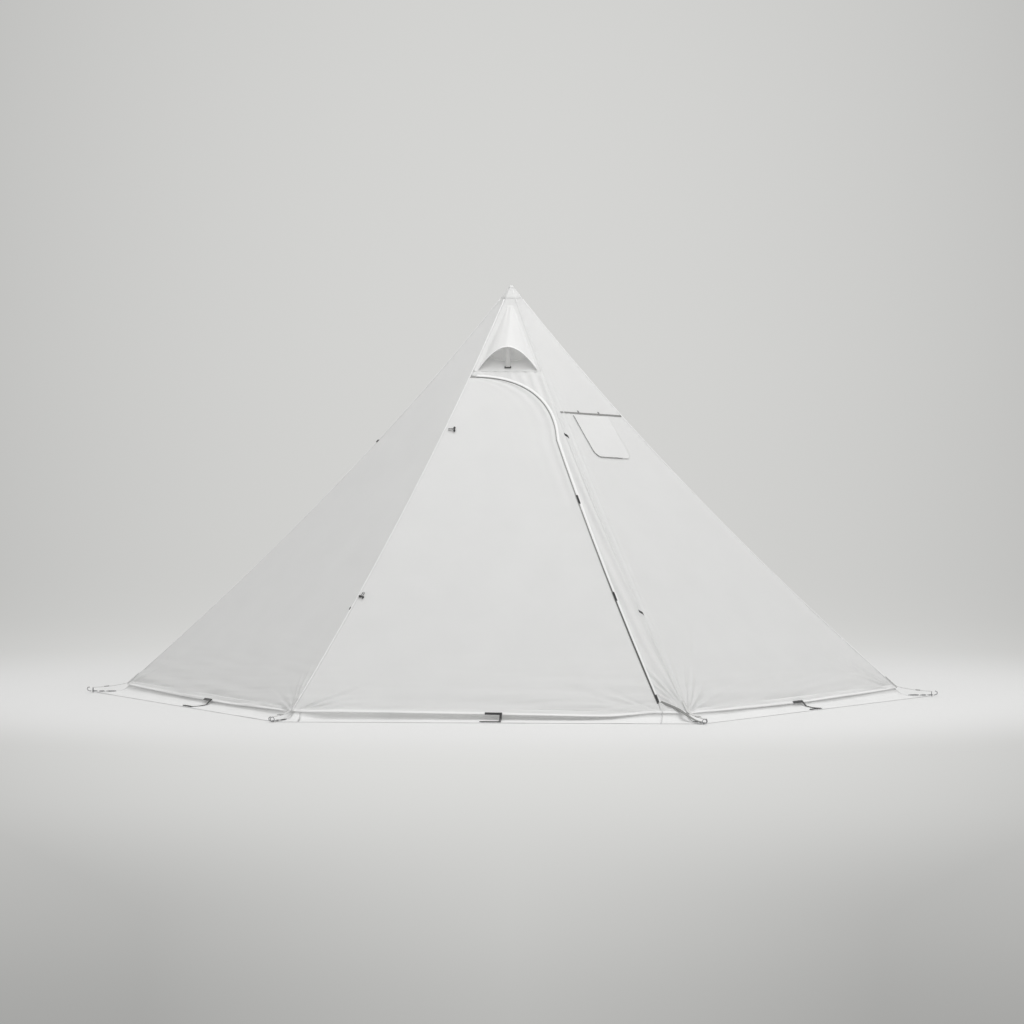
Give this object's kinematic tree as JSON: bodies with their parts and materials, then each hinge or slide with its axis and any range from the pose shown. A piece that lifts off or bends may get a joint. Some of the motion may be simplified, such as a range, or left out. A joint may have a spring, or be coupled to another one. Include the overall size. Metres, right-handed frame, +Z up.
{
  "type": "tipi tent",
  "caption": "White six-sided tipi tent on one centre pole, with a zipped side-opening door, a hooded vent, a stove jack and a snow skirt.",
  "frame": {"origin": "on the floor under the apex, at the middle of the six-sided base", "axes": "+Z up towards the apex; -Y out of the door's face; +X to the right of someone who faces the door"},
  "size_m": [3.5364, 3.0638, 1.698],
  "materials": {
    "canopy": "matt woven cloth",
    "heat_cloth": "matt heat-proof cloth",
    "tape": "matt woven tape",
    "net": "fine dark net",
    "black_webbing": "woven webbing",
    "grey_webbing": "woven webbing",
    "zip": "matt coil zip",
    "black_plastic": "satin moulded plastic",
    "aluminium": "satin anodised",
    "rubber": "matt"
  },
  "bodies": {
    "tent": {"wall_front_top": "canopy", "wall_front_frame": "canopy", "wall_front_right": "canopy", "wall_back_right": "canopy", "wall_back": "canopy", "wall_back_left": "canopy", "wall_front_left": "canopy", "vent_hood": "canopy", "apex_cap": "canopy", "skirt_front_frame": "canopy", "skirt_front_right": "canopy", "skirt_back_right": "canopy", "skirt_back": "canopy", "skirt_back_left": "canopy", "skirt_front_left": "canopy", "stove_jack": "heat_cloth", "apex_pocket": "heat_cloth", "ridge_seam_front_left": "tape", "ridge_seam_front_right": "tape", "ridge_seam_right": "tape", "ridge_seam_back_right": "tape", "ridge_seam_back_left": "tape", "ridge_seam_left": "tape", "vent_mesh": "net", "hem_anchor_front_right": "black_webbing", "hem_anchor_back_right": "black_webbing", "hem_anchor_back": "black_webbing", "hem_anchor_back_left": "black_webbing", "hem_anchor_front_left": "black_webbing", "corner_anchor_front_left": "grey_webbing", "corner_anchor_front_right": "grey_webbing", "corner_anchor_right": "grey_webbing", "corner_anchor_back_right": "grey_webbing", "corner_anchor_back_left": "grey_webbing", "corner_anchor_left": "grey_webbing", "zip_end_strap": "grey_webbing", "stove_seam_tape": "grey_webbing", "zip_chain_frame": "zip", "pole_clamp": "black_plastic", "pole_lower_tube": "aluminium", "peg_front_left": "aluminium", "peg_front_right": "aluminium", "peg_right": "aluminium", "peg_back_right": "aluminium", "peg_back_left": "aluminium", "peg_left": "aluminium", "pole_foot": "rubber"},
    "door": {"door_panel": "canopy", "zip_chain_door": "zip", "hem_anchor_door": "black_webbing", "skirt_front_door": "canopy"},
    "upper_toggle": {"toggle_upper": "black_plastic"},
    "lower_toggle": {"toggle_lower": "black_plastic"},
    "slider": {"zip_slider": "black_plastic"},
    "pull": {"zip_pull": "black_plastic"},
    "strut": {"vent_strut": "grey_webbing"},
    "flap": {"stove_flap": "canopy"},
    "upper_pole": {"pole_upper_tube": "aluminium", "pole_tip": "rubber"},
    "lever": {"pole_lever": "black_plastic"}
  },
  "joints": [
    {"name": "door_hinge", "type": "hinge", "parent": "tent", "child": "door", "pos_m": [-0.8, -1.38564, 0.035], "axis": [-0.3534, -0.6121, -0.7075], "range_deg": [0, 100]},
    {"name": "toggle_upper_hinge", "type": "hinge", "parent": "door", "child": "upper_toggle", "pos_m": [-0.23361, -0.42758, 1.12307], "axis": [0, -0.6183, -0.786], "range_deg": [0, 80]},
    {"name": "toggle_lower_hinge", "type": "hinge", "parent": "door", "child": "lower_toggle", "pos_m": [-0.54106, -0.96372, 0.48824], "axis": [-0.9332, 0.2406, 0.2671], "range_deg": [0, 80]},
    {"name": "zip_slide", "type": "slide", "parent": "tent", "child": "slider", "axis": [-0.3353, 0.6469, 0.6849], "range_m": [0, 0.45]},
    {"name": "zip_pull_hinge", "type": "hinge", "parent": "slider", "child": "pull", "pos_m": [0.66967, -1.3358, 0.09766], "axis": [-0.9421, -0.2336, -0.2405], "range_deg": [0, 120]},
    {"name": "strut_hinge", "type": "hinge", "parent": "tent", "child": "strut", "pos_m": [0, -0.25551, 1.4509], "axis": [-1, 0, 0], "range_deg": [0, 90]},
    {"name": "stove_flap_hinge", "type": "hinge", "parent": "tent", "child": "flap", "pos_m": [0.33894, -0.18991, 1.16847], "axis": [-0.5523, -0.8296, 0.0825], "range_deg": [0, 150]},
    {"name": "pole_slide", "type": "slide", "parent": "tent", "child": "upper_pole", "axis": [0, 0, -1], "range_m": [0, 0.48]},
    {"name": "pole_lever_hinge", "type": "hinge", "parent": "tent", "child": "lever", "pos_m": [0.028, 0.0141, 0.991], "axis": [0, 0, -1], "range_deg": [0, 110]}
  ]
}
